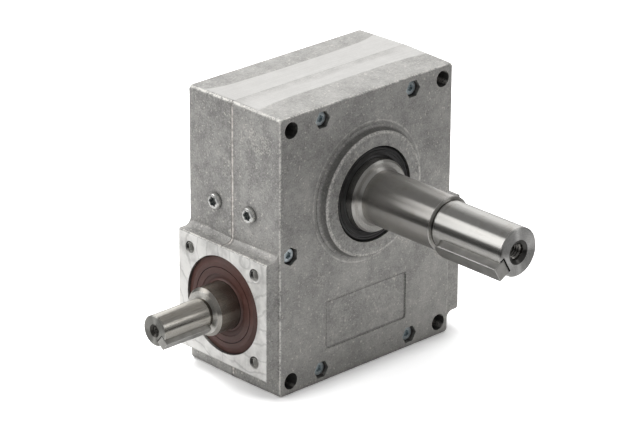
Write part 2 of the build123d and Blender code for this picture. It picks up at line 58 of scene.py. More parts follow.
camera = bpy.data.objects.new("camera", camera_data)
camera.location = camera_place
camera.rotation_mode = "QUATERNION"
toward = (camera_aim - camera_place).to_track_quat("-Z", "Y")
camera.rotation_quaternion = toward @ Quaternion((0, 0, 1), camera_roll)
bpy.context.scene.collection.objects.link(camera)
bpy.context.scene.camera = camera
bpy.context.scene.view_settings.view_transform = "Standard"

# The table: a white plane that shows only the contact shadow: the lamps' shadow, deepened by painted shadow
# where the object stands close.
# The metal sees it darker than the lens does, as the studio round it is dark.
table_half = 6.0
table_tone = 0.93
table_near_tone, table_far_tone = 0.52, 0.05
table_near, table_far = 0.30, 0.58
table_lift = 0.64
contact_reach = 0.018
contact_left = 0.35
contact_dark, contact_clear = 0.50, 0.98
contact_samples = 8


def put(tree, kind, links=None, **settings):
    """Adds a shader node, sets it up and feeds its inputs with sockets or values."""
    made = tree.nodes.new("ShaderNode" + kind)
    for name, value in settings.items():
        setattr(made, name, value)
    for key, value in (links or {}).items():
        if isinstance(value, bpy.types.NodeSocket):
            tree.links.new(value, made.inputs[key])
        else:
            made.inputs[key].default_value = value
    return made


def calc(tree, operation, first, second=0.0):
    """One sum on two sockets or numbers."""
    return put(tree, "Math", {0: first, 1: second}, operation=operation).outputs[0]


def times(tree, first, *others):
    """The product of sockets or numbers."""
    for other in others:
        first = calc(tree, "MULTIPLY", first, other)
    return first


def ramp(tree, value, low, high, start=0.0, end=1.0):
    """Goes straight from start to end while value goes from low to high."""
    links = {"Value": value, "From Min": low, "From Max": high, "To Min": start, "To Max": end}
    return put(tree, "MapRange", links).outputs[0]


def openness(tree, reach, samples=6):
    """1 on open surface, less where other surface stands within reach."""
    return put(tree, "AmbientOcclusion", {"Distance": reach}, samples=samples).outputs["AO"]


table_material = bpy.data.materials.new("white_table")
table_material.use_nodes = True
tree = table_material.node_tree
tree.nodes.clear()
rays = put(tree, "LightPath").outputs
spot = put(tree, "TexCoord").outputs["Object"]
away = put(tree, "VectorMath", {0: spot}, operation="LENGTH").outputs["Value"]
mirrored = ramp(tree, away, table_near, table_far, table_near_tone, table_far_tone)
tone = ramp(tree, rays["Is Glossy Ray"], 0.0, 1.0, table_tone, mirrored)
paper = put(tree, "BsdfDiffuse", {"Color": tone}).outputs[0]
# Painted shadow: the lift that whitens the table for the lens weakens where the object stands close.
nearby = openness(tree, contact_reach, contact_samples)
painted_contact_shadow = ramp(tree, nearby, contact_dark, contact_clear, table_lift * contact_left, table_lift)
share = times(tree, rays["Is Camera Ray"], painted_contact_shadow)
lift = put(tree, "Emission", {"Color": (1, 1, 1, 1), "Strength": share}).outputs[0]
both = put(tree, "AddShader", {0: paper, 1: lift}).outputs[0]
put(tree, "OutputMaterial", {"Surface": both})

table_mesh = bpy.data.meshes.new("table")
table_corners = [(-1, -1), (1, -1), (1, 1), (-1, 1)]
table_mesh.from_pydata([(x * table_half, y * table_half, 0) for x, y in table_corners], [], [(0, 1, 2, 3)])
table_mesh.materials.append(table_material)
table = bpy.data.objects.new("table", table_mesh)
bpy.context.scene.collection.objects.link(table)

# The studio: white behind the table, dim all round, with soft panels that the metal mirrors.
# Each panel is given by its azimuth and height in degrees, its half-width and its radiance.
studio_dim, studio_low = 0.27, 0.10
dim_from, dim_to = 0.05, 0.25
panel_soft = 4.0
panels = {
    "high_left": (130, 29, 19, 2.2),
    "low_back": (45, 15, 30, 1.1),
    "strip": (14, 49, 10, 0.45),
    "right_front": (-48, 26, 10, 1.8),
}


def rise(tree, value, low, high, start=0.0, end=1.0):
    """Goes smoothly from start to end while value goes from low to high."""
    links = {"Value": value, "From Min": low, "From Max": high, "To Min": start, "To Max": end}
    return put(tree, "MapRange", links, interpolation_type="SMOOTHSTEP").outputs[0]


def plus(tree, first, second):
    """The sum of two sockets or numbers."""
    return calc(tree, "ADD", first, second)


def split(tree, vector):
    """The three coordinates of a place or a direction."""
    return put(tree, "SeparateXYZ", {0: vector}).outputs


room = bpy.data.worlds.new("white_room")
room.use_nodes = True
bpy.context.scene.world = room
tree = room.node_tree
heading = put(tree, "TexCoord").outputs["Generated"]
total = ramp(tree, split(tree, heading)[2], dim_from, dim_to, studio_low, studio_dim)
for azimuth, height, reach, radiance in panels.values():
    azimuth, height = math.radians(azimuth), math.radians(height)
    level = math.cos(height)
    middle = (math.cos(azimuth) * level, math.sin(azimuth) * level, math.sin(height))
    near = put(tree, "VectorMath", {0: heading, 1: middle}, operation="DOT_PRODUCT").outputs["Value"]
    outside, inside = (math.cos(math.radians(reach + way * panel_soft)) for way in (1, -1))
    total = plus(tree, rise(tree, near, outside, inside, 0.0, radiance), total)
seen = put(tree, "LightPath").outputs["Is Camera Ray"]
sky = tree.nodes["Background"]
sky.inputs["Color"].default_value = (1, 1, 1, 1)
tree.links.new(ramp(tree, seen, 0.0, 1.0, total, 1.0), sky.inputs["Strength"])

# Softboxes: a wide one high behind, a tall one on the left and a small one low at the front right.
# Each is given by its middle, its size and the radiance of its cloth.
softboxes = {
    "overhead": ((-0.1, 0.55, 1.45), (1.5, 1.1), 5.6),
    "left": ((-1.5, 0.3, 0.7), (0.9, 1.2), 1.85),
    "front": ((0.80, -0.95, 0.12), (0.6, 0.45), 3.8),
}
light_aim = Vector((0, 0, 0.09))
for name, (place, size, radiance) in softboxes.items():
    lamp = bpy.data.lights.new(name, "AREA")
    lamp.shape = "RECTANGLE"
    lamp.size, lamp.size_y = size
    lamp.energy = radiance * math.pi * size[0] * size[1]
    box = bpy.data.objects.new(name, lamp)
    box.location = place
    box.rotation_mode = "QUATERNION"
    box.rotation_quaternion = (light_aim - Vector(place)).to_track_quat("-Z", "Y")
    box.visible_camera = False
    box.visible_glossy = False
    bpy.context.scene.collection.objects.link(box)

# Housing halves: grey die-cast metal, tumbled, with specks, scuffs and worn edges.
# The square flange faces are milled bright, and the top was sanded where it was gated.
cast_dark = (0.215, 0.211, 0.204)
cast_light = (0.49, 0.48, 0.46)
cast_speck_and_light = (0.66, 0.64, 0.59)
cast_top = (0.385, 0.377, 0.36)
cast_stain_and_shade = (0.075, 0.073, 0.071)
cast_worn_and_highlight = (0.76, 0.745, 0.705)
boss_wall_shade = (0.07, 0.068, 0.064)
sanded_tone = (0.49, 0.482, 0.466)
milled_tone = (0.76, 0.75, 0.725)
seam_and_shadow_tone = (0.09, 0.075, 0.065)
corner_hole_shade = (0.02, 0.019, 0.018)
tap_hole_shade, tap_shade = (0.03, 0.03, 0.028), (0.02, 0.02, 0.019)

flange_face = -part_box("housing_front")[0].x
top_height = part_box("housing_front")[1].z
worm_axis = 0.051
output_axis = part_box("wheel_hub")[0].lerp(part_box("wheel_hub")[1], 0.5)
tap_core, tap_mouth, tap_offset = 0.0034, 0.0044, 0.0283
tap_side = (0.060, 0.062)
recess_half, recess_low, recess_high = 0.0335, 0.0208, 0.052
corner_hole_x, corner_hole_middle, corner_hole_z = 0.062, 0.08925, 0.08025
corner_hole_edge = (0.0053, 0.0055)
rub_place, rub_size = (-0.024, 0.158), (0.018, 0.012)
rub_side = (0.066, 0.068)
boss_rim, boss_wall, boss_foot = (0.0374, 0.0393), (0.0386, 0.0430), (0.0437, 0.0446)
boss_wall_low, boss_wall_high = (0.0404, 0.0420), (0.0447, 0.0454)
boss_rim_depth, boss_foot_depth = (0.0449, 0.0455), (0.0398, 0.0400)
side_edge, top_edge, base_edge = (0.064, 0.066), (0.171, 0.173), (0.004, 0.006)
hollow_up, hollow_aside = (0.0380, 0.0434), (0.0714, 0.0762)
band_reach = 0.071
band_rear, band_rear_flare = 0.0213, 0.0058
band_front, band_front_flare = -0.0168, -0.0036
band_grey, band_joint, band_height = (-0.0085, -0.0015), (0.0004, 0.0012), (0.16, 0.17)
cutter_centre = (0, 0.02, -0.085)
cutter_pass = (-0.0202, -0.0200, 0.00012)
seam_line, bead_shadow_band = (-0.0001, 0.0001, 0.0001), (0.0008, 0.0017, 0.0003)


def minus(tree, first, second):
    """The difference of two sockets or numbers."""
    return calc(tree, "SUBTRACT", first, second)


def larger(tree, first, second):
    """The larger of two sockets or numbers."""
    return calc(tree, "MAXIMUM", first, second)


def unsigned(tree, value):
    """A value without its sign."""
    return calc(tree, "ABSOLUTE", value)


def left_by(tree, value, share=1.0):
    """What a share of the value leaves of 1."""
    return minus(tree, 1.0, times(tree, value, share))


def weighed(tree, *parts):
    """The sum of sockets, each times its weight."""
    total = times(tree, *parts[0])
    for part in parts[1:]:
        total = plus(tree, total, times(tree, *part))
    return total


def within(tree, value, low, high, soft):
    """1 where value lies between low and high, with soft ends."""
    up = rise(tree, value, low - soft, low + soft)
    down = rise(tree, value, high - soft, high + soft, 1.0, 0.0)
    return times(tree, up, down)


def cloud(tree, where, scale, detail=2.0, roughness=0.5, distortion=0.0):
    """Soft noise with so many waves a metre."""
    links = {"Vector": where, "Scale": scale, "Detail": detail}
    links.update({"Roughness": roughness, "Distortion": distortion})
    return put(tree, "TexNoise", links).outputs[0]


def stretched(tree, where, along, across, axis):
    """The place on the piece, with its own scale along one axis and across it."""
    scale = [across, across, across]
    scale["XYZ".index(axis)] = along
    return put(tree, "Mapping", {"Vector": where, "Scale": scale}).outputs[0]


def colours(tree, amount, first, second):
    """Mixes two colours, given as sockets or as red, green and blue."""
    made = put(tree, "Mix", {0: amount}, data_type="RGBA")
    for slot, colour in ((6, first), (7, second)):
        if isinstance(colour, bpy.types.NodeSocket):
            tree.links.new(colour, made.inputs[slot])
        else:
            made.inputs[slot].default_value = (*colour, 1)
    return made.outputs[2]


def shade_of(share, tone):
    """A colour made darker."""
    return [share * part for part in tone]


def edge_bend(tree, radius):
    """The normals of a slightly rounded edge, and how well they agree with the plain ones."""
    rounded = put(tree, "Bevel", {"Radius": radius}, samples=6).outputs[0]
    flat = put(tree, "NewGeometry").outputs["Normal"]
    bend = put(tree, "VectorMath", {0: rounded, 1: flat}, operation="DOT_PRODUCT").outputs["Value"]
    return rounded, bend


def relief(tree, height, strength, distance, normal=None):
    """Normals with a fine relief on them."""
    links = {"Strength": strength, "Distance": distance, "Height": height}
    if normal is not None:
        links["Normal"] = normal
    return put(tree, "Bump", links).outputs[0]


def new_finish(name, metallic, **fixed):
    """A material with its shader, and the place on the piece in metres."""
    material = bpy.data.materials.new(name)
    material.use_nodes = True
    tree = material.node_tree
    shader = tree.nodes["Principled BSDF"]
    shader.inputs["Metallic"].default_value = metallic
    for key, value in fixed.items():
        shader.inputs[key.replace("_", " ")].default_value = value
    spot = tree.nodes.new("ShaderNodeTexCoord")
    return material, tree, shader, spot


def coat(tree, shader, skin, roughness, normal):
    """Feeds a finish's colour, roughness and relief to its shader."""
    tree.links.new(skin, shader.inputs["Base Color"])
    tree.links.new(roughness, shader.inputs["Roughness"])
    tree.links.new(normal, shader.inputs["Normal"])


def dress(node, material):
    """Gives a piece its one material."""
    piece = cad[node] if isinstance(node, str) else node
    piece.data.materials.clear()
    piece.data.materials.append(material)
    return piece


def outer_distance(tree, along, up, centre, half_long, half_high):
    """How far outside a rectangle a point of a face lies, negative inside."""
    past_side = minus(tree, unsigned(tree, along), half_long)
    past_end = minus(tree, unsigned(tree, minus(tree, up, centre)), half_high)
    return larger(tree, past_side, past_end)


def radius_from(tree, first, second):
    """The distance from the origin of two coordinates."""
    squares = plus(tree, calc(tree, "POWER", first, 2.0), calc(tree, "POWER", second, 2.0))
    return calc(tree, "SQRT", squares)


def crisp(tree, normal, amount):
    """Turns a rounded box edge's normals into those of a tighter edge where amount is 1."""
    sign = put(tree, "VectorMath", {0: normal}, operation="ABSOLUTE").outputs[0]
    square = put(tree, "VectorMath", {0: sign, 1: sign}, operation="MULTIPLY").outputs[0]
    cubed = put(tree, "VectorMath", {0: square, 1: normal}, operation="MULTIPLY").outputs[0]
    cubed = put(tree, "VectorMath", {0: cubed}, operation="NORMALIZE").outputs[0]
    mixed = put(tree, "Mix", {0: amount, 4: normal, 5: cubed}, data_type="VECTOR").outputs[1]
    return put(tree, "VectorMath", {0: mixed}, operation="NORMALIZE").outputs[0]


def cast_finish():
    """The housing's skin."""
    material, tree, shader, spot = new_finish("cast_housing", 0.0)
    where = spot.outputs["Object"]
    facing = split(tree, spot.outputs["Normal"])
    at = split(tree, where)
    aside = unsigned(tree, at[0])
    depth = unsigned(tree, at[1])

    # Mottle of the casting, from thumb-sized clouds down to grit.
    big = cloud(tree, where, 30, 4, 0.55)
    middle = cloud(tree, where, 150, 5, 0.65)
    fine = cloud(tree, where, 900, 3, 0.7)
    grit = cloud(tree, where, 2600, 2)
    mottle = weighed(tree, (big, 0.7), (middle, 0.8), (fine, 1.0), (grit, 0.6))
    skin = colours(tree, rise(tree, mottle, 1.1, 2.0), cast_dark, cast_light)

    # Bright specks and scuffs where the tumbled skin is burnished.
    specks = rise(tree, cloud(tree, where, 620, 2, 0.5), 0.63, 0.70)
    scuff_zone = rise(tree, cloud(tree, where, 60, 5, 0.65, 1.5), 0.58, 0.68)
    off_y = calc(tree, "DIVIDE", minus(tree, at[1], rub_place[0]), rub_size[0])
    off_z = calc(tree, "DIVIDE", minus(tree, at[2], rub_place[1]), rub_size[1])
    rub = rise(tree, radius_from(tree, off_y, off_z), 0.4, 1.1, 0.14, 0.0)
    rub = times(tree, rub, rise(tree, aside, *rub_side))
    rubbed_zone = rise(tree, plus(tree, cloud(tree, where, 130, 5, 0.6), rub), 0.62, 0.70)
    scuff_zone = larger(tree, scuff_zone, rubbed_zone)
    scuffs = times(tree, scuff_zone, rise(tree, fine, 0.47, 0.60))
    bright = larger(tree, times(tree, specks, 0.8), times(tree, scuffs, 0.6))
    skin = colours(tree, bright, skin, cast_speck_and_light)

    # Small pores.
    cells = put(tree, "TexVoronoi", {"Vector": where, "Scale": 95.0})
    lone = rise(tree, split(tree, cells.outputs["Color"])[0], 0.72, 0.75)
    pores = times(tree, lone, rise(tree, cells.outputs["Distance"], 0.03, 0.06, 1.0, 0.0))
    skin = colours(tree, times(tree, pores, 0.85), skin, cast_stain_and_shade)

    # Painted shade in the corners, but not in the tapped holes, which get painted shade of their own on
    # their upper side.
    up = minus(tree, at[2], worm_axis)
    from_middle = unsigned(tree, up)
    tap_y = minus(tree, depth, tap_offset)
    tap_z = minus(tree, from_middle, tap_offset)
    from_tap = radius_from(tree, tap_y, tap_z)
    in_tap = rise(tree, from_tap, tap_mouth, tap_mouth + 0.0002, 1.0, 0.0)
    in_tap = times(tree, in_tap, rise(tree, aside, *tap_side))
    corner = openness(tree, 0.005)
    corner_shade = times(tree, rise(tree, corner, 0.35, 0.95, 0.65, 0.0), left_by(tree, in_tap))
    skin = colours(tree, corner_shade, skin, cast_stain_and_shade)
    # Painted shade in the tapped holes: dark on their upper side, and a little darker down the bore than on
    # the countersink.
    side_y = times(tree, tap_y, calc(tree, "SIGN", at[1]))
    side_z = times(tree, tap_z, calc(tree, "SIGN", up))
    shaded = rise(tree, plus(tree, side_y, side_z), -0.0016, 0.0026)
    on_sink = rise(tree, from_tap, tap_core, tap_core + 0.0002, 0.7, 1.0)
    tapped_skin_and_shade = colours(tree, on_sink, tap_hole_shade, milled_tone)
    tapped_skin_and_shade = colours(tree, shaded, tapped_skin_and_shade, tap_shade)
    skin = colours(tree, in_tap, skin, tapped_skin_and_shade)

    # Painted shade inside the deep holes at the corners. The front has painted light, a little paler low
    # down and to the right, and a line of painted shade round its shallow recess.
    corner_x = minus(tree, aside, corner_hole_x)
    corner_z = minus(tree, unsigned(tree, minus(tree, at[2], corner_hole_middle)), corner_hole_z)
    in_corner = rise(tree, radius_from(tree, corner_x, corner_z), *corner_hole_edge, 0.75, 0.0)
    in_corner = times(tree, in_corner, rise(tree, unsigned(tree, facing[1]), 0.5, 0.8, 1.0, 0.0))
    skin = colours(tree, in_corner, skin, corner_hole_shade)
    recess_middle, recess_rise = (recess_low + recess_high) / 2, (recess_high - recess_low) / 2
    recess = outer_distance(tree, at[0], at[2], recess_middle, recess_half, recess_rise)
    on_front = rise(tree, facing[1], -0.9, -0.98)
    painted_paler = plus(tree, rise(tree, at[2], 0.13, 0.01, 0.0, 0.10), rise(tree, at[0], 0.02, 0.07, 0.0, 0.05))
    skin = colours(tree, times(tree, painted_paler, on_front), skin, cast_speck_and_light)
    recess_line_shade = times(tree, within(tree, recess, -0.0012, -0.0002, 0.0004), on_front)
    skin = colours(tree, times(tree, recess_line_shade, 0.4), skin, cast_stain_and_shade)

    # The output boss: painted shade on its wall, rubbed on its rim, and a faint painted highlight where its
    # foot ends.
    from_output = radius_from(tree, at[0], minus(tree, at[2], output_axis.z))
    on_wall = times(tree, within(tree, from_output, *boss_wall, 0.0002), rise(tree, depth, *boss_wall_low))
    on_wall = times(tree, on_wall, rise(tree, depth, *boss_wall_high, 1.0, 0.0))
    skin = colours(tree, times(tree, on_wall, 0.62), skin, boss_wall_shade)
    rim = times(tree, within(tree, from_output, *boss_rim, 0.0005), rise(tree, depth, *boss_rim_depth))
    foot_highlight = times(tree, within(tree, from_output, *boss_foot, 0.0003), rise(tree, depth, *boss_foot_depth))
    rim_wear_and_foot_highlight = times(tree, rim, rise(tree, fine, 0.40, 0.62, 0.15, 0.75))
    rim_wear_and_foot_highlight = larger(tree, rim_wear_and_foot_highlight, times(tree, foot_highlight, rise(tree, middle, 0.35, 0.6, 0.1, 0.5)))
    skin = colours(tree, rim_wear_and_foot_highlight, skin, cast_worn_and_highlight)

    # Bare metal along the outer edges, but not in the flanges' hollows.
    rounded, bend = edge_bend(tree, 0.0005)
    flat = put(tree, "NewGeometry").outputs["Normal"]
    edge = times(tree, rise(tree, bend, 0.90, 0.995, 1.0, 0.0), rise(tree, corner, 0.5, 0.75))
    most = split(tree, put(tree, "VectorMath", {0: flat}, operation="ABSOLUTE").outputs[0])
    most = larger(tree, larger(tree, most[0], most[1]), most[2])
    outer = larger(tree, rise(tree, aside, *side_edge), rise(tree, at[2], *top_edge))
    outer = larger(tree, outer, rise(tree, at[2], *base_edge, 1.0, 0.0))
    in_hollow = within(tree, from_middle, *hollow_up, 0.0004)
    in_hollow = times(tree, in_hollow, within(tree, aside, *hollow_aside, 0.0006))
    outer = times(tree, outer, left_by(tree, in_hollow))
    edge = larger(tree, edge, times(tree, rise(tree, most, 0.80, 0.97, 1.0, 0.0), outer))
    worn = times(tree, edge, rise(tree, plus(tree, middle, fine), 0.82, 1.12, 0.15, 0.95))
    skin = colours(tree, worn, skin, cast_worn_and_highlight)

    # Two sanded bands along the top, pinched in the middle, with a grey one between them.
    swell = calc(tree, "POWER", calc(tree, "DIVIDE", aside, band_reach), 5.0)
    wobble = times(tree, minus(tree, cloud(tree, where, 22, 3), 0.5), 0.003)
    across = plus(tree, at[1], wobble)
    rear_edge = plus(tree, band_rear, times(tree, swell, band_rear_flare))
    front_edge = plus(tree, band_front, times(tree, swell, band_front_flare))
    inside = rise(tree, minus(tree, rear_edge, across), -0.0003, 0.0005)
    inside = times(tree, inside, rise(tree, minus(tree, across, front_edge), -0.0004, 0.0012))
    between = times(tree, rise(tree, across, *band_grey), rise(tree, at[1], *band_joint, 1.0, 0.0))
    between = times(tree, between, rise(tree, cloud(tree, where, 28, 3), 0.3, 0.6, 0.25, 1.0))
    on_top = times(tree, rise(tree, facing[2], 0.90, 0.985), rise(tree, at[2], *band_height))
    skin = colours(tree, times(tree, on_top, 0.35), skin, cast_top)
    bands = times(tree, inside, left_by(tree, between, 0.62), on_top)
    sanded = cloud(tree, stretched(tree, where, 30, 900, "X"), 1.0, 3)
    sanding = colours(tree, rise(tree, sanded, 0.3, 0.7), shade_of(0.93, sanded_tone), sanded_tone)
    skin = colours(tree, times(tree, bands, 0.9), skin, sanding)

    # Milled flange faces, with the faint arcs of a wide cutter, and the tapped holes' countersinks.
    milled = rise(tree, aside, flange_face - 0.0004, flange_face - 0.0001)
    milled = times(tree, milled, rise(tree, unsigned(tree, facing[0]), 0.9, 0.99))
    sweep = put(tree, "Mapping", {"Vector": where, "Location": cutter_centre}).outputs[0]
    rings = {"Vector": sweep, "Scale": 34.0, "Distortion": 5.0, "Detail": 4.0, "Detail Scale": 1.4}
    arcs = put(tree, "TexWave", rings, wave_type="RINGS", rings_direction="X").outputs[1]
    smudge = cloud(tree, where, 75, 5, 0.6)
    cut_mark = plus(tree, times(tree, rise(tree, arcs, 0.90, 1.0), -0.14), smudge)
    cut_mark = minus(tree, cut_mark, times(tree, within(tree, at[1], *cutter_pass), 0.16))
    cut_mark = minus(tree, cut_mark, rise(tree, at[1], 0.005, -0.035, 0.0, 0.07))
    cut_skin = colours(tree, rise(tree, cut_mark, 0.24, 0.62), shade_of(0.64, milled_tone), milled_tone)
    face = times(tree, milled, rise(tree, from_tap, tap_mouth - 0.0003, tap_mouth))
    skin = colours(tree, face, skin, cut_skin)
    sink = rise(tree, from_tap, tap_core, tap_mouth)

    # The fine dark line of the joint, with a painted shadow of the bead beside it on the skin.
    bare = larger(tree, milled, bands)
    seam_and_bead_shadow = within(tree, at[1], *seam_line)
    bead_shadow = times(tree, within(tree, at[1], *bead_shadow_band), left_by(tree, bare))
    seam_and_bead_shadow = larger(tree, times(tree, seam_and_bead_shadow, 0.6), times(tree, bead_shadow, 0.5))
    skin = colours(tree, seam_and_bead_shadow, skin, seam_and_shadow_tone)
    shine = minus(tree, rise(tree, mottle, 1.1, 2.0, 0.60, 0.42), times(tree, bare, 0.10))
    tree.links.new(minus(tree, 0.45, times(tree, bare, 0.1)), shader.inputs["Metallic"])

    # Relief: casting grain, the recess's soft walls and the countersinks.
    grain = weighed(tree, (fine, 0.8), (middle, 1.0), (grit, 0.5))
    grain = times(tree, grain, left_by(tree, bare, 0.88))
    cast = relief(tree, grain, 1.0, 0.00018, crisp(tree, rounded, outer))
    wall = times(tree, rise(tree, recess, -0.0016, 0.0010), on_front)
    walls = relief(tree, wall, 0.8, 0.0006, cast)
    sinks = relief(tree, times(tree, sink, milled), 1.0, 0.0010, walls)
    coat(tree, shader, skin, shine, sinks)
    return material


cast_housing = cast_finish()
dress("housing_front", cast_housing)
dress("housing_rear", cast_housing)

# Parting bead: the thin flash that stands along the joint on both sides of the housing.
# It runs from the flange's hollow up to the top corner and again below the flange.
bead_from, bead_to = -0.0008, 0.0008
bead_height, bead_step = 0.0004, 0.0006
side_wall = 0.07180
flange_top, flange_low = 0.0892, 0.0128
hollow_radius = 0.005
hollow_x = 0.071 + hollow_radius
bead_corner = 0.0034
bead_upper_start, bead_lower_end = 0.0925, 0.0102
bead_dull, bead_bright = (0.46, 0.43, 0.405), (0.82, 0.78, 0.74)


def finish_piece(name, shape, body, smooth_angle=35):
    """Turns a built shape into an object that rides on its body."""
    mesh = bpy.data.meshes.new(name)
    shape.to_mesh(mesh)
    shape.free()
    mesh.polygons.foreach_set("use_smooth", [True] * len(mesh.polygons))
    mesh.set_sharp_from_angle(angle=math.radians(smooth_angle))
    piece = bpy.data.objects.new(name, mesh)
    bpy.context.scene.collection.objects.link(piece)
    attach(piece, body)
    return piece


def skin_rows(shape, rows):
    """Closes the rows of a swept section into a solid with flat ends."""
    for one, two in zip(rows, rows[1:]):
        for j in range(len(one)):
            k = (j + 1) % len(one)
            shape.faces.new((one[j], one[k], two[k], two[j]))
    shape.faces.new(rows[0])
    shape.faces.new(rows[-1])
    bmesh.ops.recalc_face_normals(shape, faces=shape.faces)


def bead(name, path, side):
    """A low bead along points of (distance from the middle, height)."""
    shape = bmesh.new()
    section = [(bead_from, -0.6), (bead_from + 0.0002, 0.75), ((bead_from + bead_to) / 2, 1.0)]
    section += [(bead_to - 0.0002, 0.75), (bead_to, -0.6)]
    rows = []
    for i, (x, z) in enumerate(path):
        before, after = path[max(i - 1, 0)], path[min(i + 1, len(path) - 1)]
        run = Vector((after[0] - before[0], after[1] - before[1])).normalized()
        out = Vector((run.y, -run.x))
        uneven = 0.8 + 0.2 * math.sin(z * 900) * math.sin(z * 370 + 1) + 0.12 * math.sin(z * 2300)
        row = []
        for y, up in section:
            lift = bead_height * (up * uneven if up > 0 else up)
            row.append(shape.verts.new((side * (x + out.x * lift), y, z + out.y * lift)))
        rows.append(row)
    skin_rows(shape, rows)
    return finish_piece(name, shape, "housing", 80)


def rows_between(low, high):
    """Evenly spaced points up the side wall from low to high."""
    count = max(2, round((high - low) / bead_step))
    return [(side_wall, low + (high - low) * i / count) for i in range(count + 1)]


def hollow_bend(height, way, turns):
    """Points round a flange's hollow, the upper one for way 1 and the lower one for way -1."""
    made = []
    for degrees in turns:
        turn = math.radians(degrees)
        out, up = hollow_radius * math.cos(turn), hollow_radius * math.sin(turn)
        made.append((hollow_x - out, height - way * up))
    return made


def bead_finish():
    """Rubbed cast metal, lighter than the skin beside it."""
    material, tree, shader, spot = new_finish("rubbed_bead", 0.45)
    wear = cloud(tree, spot.outputs["Object"], 420, 3, 0.6)
    skin = colours(tree, rise(tree, wear, 0.35, 0.65), bead_dull, bead_bright)
    coat(tree, shader, skin, rise(tree, wear, 0.3, 0.7, 0.55, 0.4), relief(tree, wear, 0.6, 0.0001))
    return material


upper = hollow_bend(flange_top + hollow_radius, 1, range(90, 32, -8))
upper += rows_between(bead_upper_start, top_height - bead_corner)
lower = rows_between(bead_corner, bead_lower_end)
lower += hollow_bend(flange_low - hollow_radius, -1, range(32, 91, 8))
rubbed_bead = bead_finish()
for side, word in ((-1, "input"), (1, "tail")):
    dress(bead(f"parting_bead_{word}_upper", upper, side), rubbed_bead)
    dress(bead(f"parting_bead_{word}_lower", lower, side), rubbed_bead)

# Case screws: zinc-plated, with round heads and six-lobe sockets, sunk in the hexagonal pockets.
# Their nuts sit in the rear half's pockets.
screw_top = -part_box("case_screws")[0].y
screw_head, screw_height = 0.0045, 0.0034
screw_shank, screw_end, screw_tip = 0.003, 0.04, 0.0004
screw_across, screw_heights = (-0.037, 0.037), (0.0085, 0.1695)
side_screw_across, side_screw_height = (-0.0623, 0.0623), 0.09
screw_places = [(x, z) for x in screw_across for z in screw_heights]
screw_places += [(x, side_screw_height) for x in side_screw_across]
nut_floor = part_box("case_nuts")[0].y
nut_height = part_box("case_nuts")[1].y - nut_floor
nut_flat, nut_bore, nut_mouth, nut_crown = 0.005, 0.0030, 0.0034, 0.0044
nut_chamfer, nut_mouth_depth = 0.0005, 0.0004


def on_axis(place, axis, along, reach, turn):
    """The point at a reach and a turn round an axis through place."""
    u, v = reach * math.cos(turn), reach * math.sin(turn)
    return Vector(place) + Vector((along, u, v) if axis == "X" else (v, along, u))


def ring_piece(name, rings, axis, place, body, steps=96, closed=False):
    """A turned piece: rings of (radius, distance along the axis, depth of its six lobes)."""
    shape = bmesh.new()
    rows = []
    for radius, along, *lobes in rings:
        row = []
        for i in range(steps if radius > 0 else 1):
            turn = 2 * math.pi * i / steps
            reach = radius + sum(lobes) * math.cos(6 * turn)
            row.append(shape.verts.new(on_axis(place, axis, along, reach, turn)))
        rows.append(row)
    pairs = list(zip(rows, rows[1:])) + ([(rows[-1], rows[0])] if closed else [])
    for one, two in pairs:
        for i in range(steps):
            j = (i + 1) % steps
            if len(one) == 1:
                shape.faces.new((one[0], two[j], two[i]))
            elif len(two) == 1:
                shape.faces.new((one[i], one[j], two[0]))
            else:
                shape.faces.new((one[i], one[j], two[j], two[i]))
    if not closed:
        for row in (rows[0], rows[-1]):
            if len(row) > 1:
                shape.faces.new(row)
    bmesh.ops.recalc_face_normals(shape, faces=shape.faces)
    return finish_piece(name, shape, body)


def arc(middle, radius, start, end, count):
    """Points of (radius, along) on a quarter or so of a circle, angles in degrees."""
    made = []
    for i in range(count + 1):
        turn = math.radians(start + (end - start) * i / count)
        made.append((middle[0] + radius * math.cos(turn), middle[1] + radius * math.sin(turn)))
    return made


def plated_finish(name, pale, socket_shade, roughness, shade_reach):
    """Zinc plate: dull in spots, with a fine grain, and painted shade in its socket."""
    material, tree, shader, spot = new_finish(name, 1.0)
    where = spot.outputs["Object"]
    patches = cloud(tree, where, 900, 3, 0.6)
    corner = openness(tree, shade_reach)
    skin = colours(tree, rise(tree, patches, 0.35, 0.7), pale, shade_of(0.78, pale))
    skin = colours(tree, rise(tree, corner, 0.25, 0.85, 0.9, 0.0), skin, socket_shade)
    polish = rise(tree, patches, 0.3, 0.7, roughness, roughness + 0.14)
    coat(tree, shader, skin, polish, relief(tree, cloud(tree, where, 2600, 2), 0.4, 0.00004))
    return material


def socket_head(radius, top, height, socket, depth, rounding, lobe):
    """Rings of a round head with a six-lobe socket, from the socket's floor to its underside."""
    rings = [(0.0, depth - top), (socket * 0.92, depth - top, lobe * 0.8)]
    rings += [(socket, depth * 0.9 - top, lobe), (socket, 0.0001 - top, lobe)]
    rings += [(socket + 0.00012, -top, lobe), (socket + 0.0006, -top, lobe * 0.2)]
    rings += [(r, -a) for r, a in arc((radius - rounding, top - rounding), rounding, 90, 0, 5)]
    rings += [(radius, height - 0.0002 - top), (radius - 0.0002, height - top)]
    return rings


